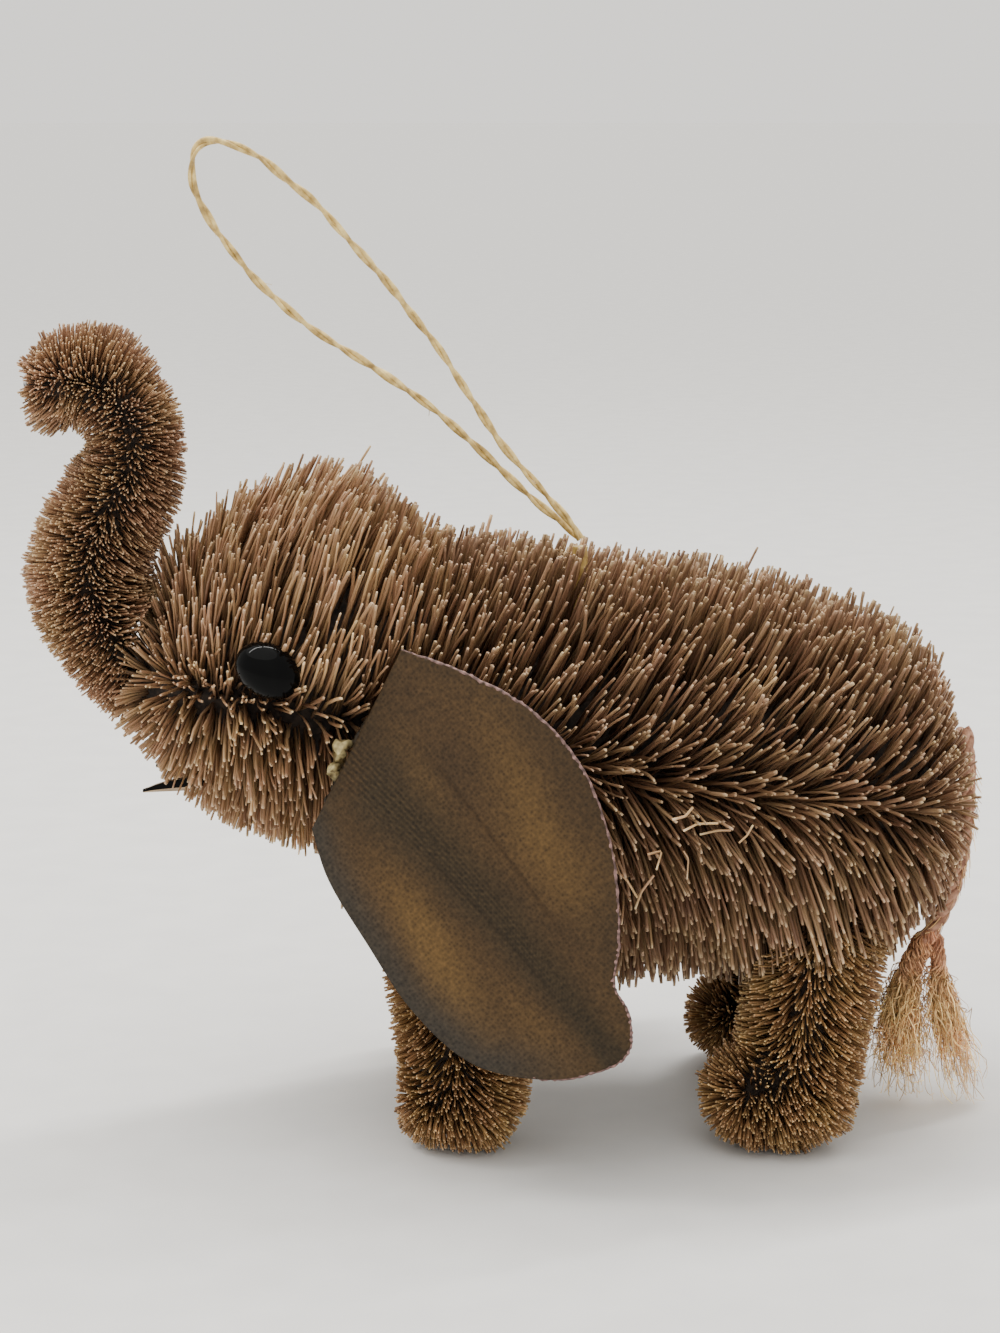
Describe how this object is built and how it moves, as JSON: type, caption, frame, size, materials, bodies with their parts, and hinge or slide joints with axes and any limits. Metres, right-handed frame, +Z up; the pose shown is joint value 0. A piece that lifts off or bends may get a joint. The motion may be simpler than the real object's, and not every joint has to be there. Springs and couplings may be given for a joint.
{
  "type": "bristle elephant hanging ornament",
  "caption": "Standing elephant made of trimmed bristle brushes on wire cores, with raised trunk, leather ears, domed eyes, short tusks, a cord tail and a hanging loop.",
  "frame": {"origin": "centre of the elephant's footprint box on the floor, under the soles; the hanging loop and the tail are left out of it", "axes": "+X from the trunk's tip towards the rump, +Y towards the elephant's right side, +Z up"},
  "size_m": [0.1545, 0.0868, 0.1553],
  "materials": {
    "body_fibre": "dry cut plant-fibre bristle, dark between the bristles and paler at the cut tips",
    "trunk_fibre": "fine dense plant-fibre bristle",
    "leg_fibre": "fine dense plant-fibre bristle, golden brown",
    "core_wire": "twisted iron wire, dull",
    "ear_leather": "thin brown leather with a fine grain and raw cut edges",
    "glue": "set amber hot glue",
    "eye_gloss": "polished black",
    "tusk_strip": "thin folded strip with a pale cut edge",
    "raffia": "twisted dry raffia",
    "tail_fibre": "twisted plant-fibre cord, reddish brown",
    "tassel_fibre": "frayed plant fibre, golden tan"
  },
  "bodies": {
    "elephant": {"body_bristles": "body_fibre", "head_bristles": "body_fibre", "trunk_bristles": "trunk_fibre", "front_left_leg_bristles": "leg_fibre", "front_right_leg_bristles": "leg_fibre", "rear_left_leg_bristles": "leg_fibre", "rear_right_leg_bristles": "leg_fibre", "spine_wire": "core_wire", "trunk_wire": "core_wire", "trunk_binding": "core_wire", "front_left_leg_wire": "core_wire", "front_right_leg_wire": "core_wire", "rear_left_leg_wire": "core_wire", "rear_right_leg_wire": "core_wire", "left_ear_glue": "glue", "right_ear_glue": "glue", "left_eye": "eye_gloss", "right_eye": "eye_gloss", "left_eye_glue": "glue", "right_eye_glue": "glue", "left_tusk": "tusk_strip", "right_tusk": "tusk_strip", "loop_knot": "raffia", "tail_knot": "tail_fibre"},
    "left_ear": {"left_ear": "ear_leather"},
    "right_ear": {"right_ear": "ear_leather"},
    "loop": {"hanging_loop": "raffia"},
    "tail": {"tail_cord": "tail_fibre"},
    "tassels": {"front_tassel": "tassel_fibre", "rear_tassel": "tassel_fibre"}
  },
  "joints": [
    {"name": "left_ear_flap", "type": "hinge", "parent": "elephant", "child": "left_ear", "pos_m": [-0.0276, -0.027, 0.053], "axis": [-0.4446, 0, -0.8957], "range_deg": [0, 35], "stiffness_Nm_per_rad": 0.0005},
    {"name": "right_ear_flap", "type": "hinge", "parent": "elephant", "child": "right_ear", "pos_m": [-0.0276, 0.027, 0.053], "axis": [0.4446, 0, 0.8957], "range_deg": [0, 35], "stiffness_Nm_per_rad": 0.0005},
    {"name": "loop_swing", "type": "hinge", "parent": "elephant", "child": "loop", "pos_m": [0.0132, 0, 0.0932], "axis": [0, 1, 0], "range_deg": [-12, 110]},
    {"name": "tail_lift", "type": "hinge", "parent": "elephant", "child": "tail", "pos_m": [0.0746, 0, 0.0625], "axis": [0, -1, 0], "range_deg": [0, 80]},
    {"name": "tassel_sway", "type": "hinge", "parent": "tail", "child": "tassels", "pos_m": [0.0689, 0, 0.027], "axis": [1, 0, 0], "range_deg": [-25, 25]}
  ]
}
